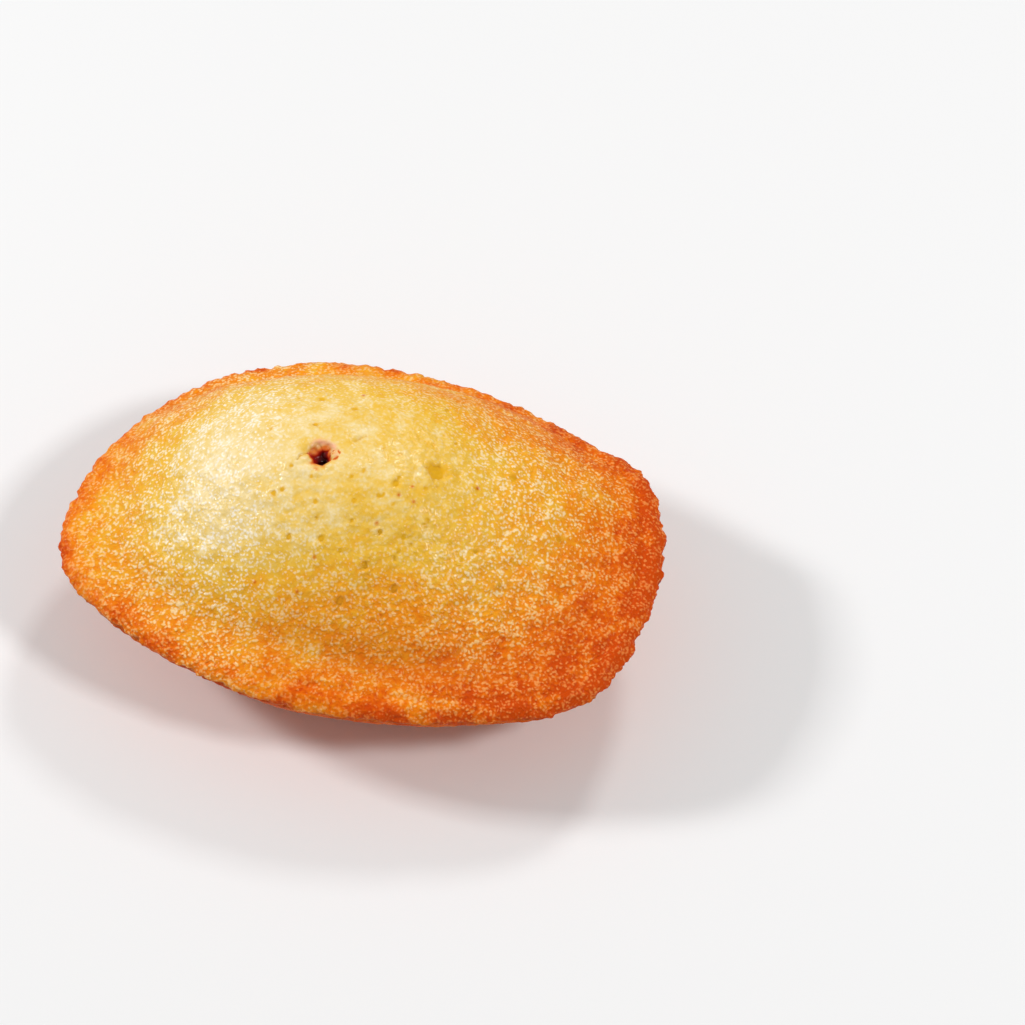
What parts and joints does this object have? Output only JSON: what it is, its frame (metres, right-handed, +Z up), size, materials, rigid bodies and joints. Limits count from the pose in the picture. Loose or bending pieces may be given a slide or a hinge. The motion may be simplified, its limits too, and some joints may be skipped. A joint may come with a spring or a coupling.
{
  "type": "madeleine cake",
  "caption": "Filled scallop-pan madeleine sponge cake: barrel plan with a narrow end, domed golden top with a small jam hole, browned rim and a ribbed shell underside.",
  "frame": {"origin": "middle of the base, in the plane of the small flat that the cake rests on", "axes": "+X from the narrow hinge end to the broad fan end, +Y across the cake, +Z up through the domed top"},
  "size_m": [0.076, 0.0536, 0.0302],
  "materials": {
    "sponge": "baked sponge crust, satin with fine glints",
    "jam": "wet gloss"
  },
  "bodies": {
    "root": {"sponge_cake": "sponge", "jam_filling": "jam"}
  },
  "joints": []
}
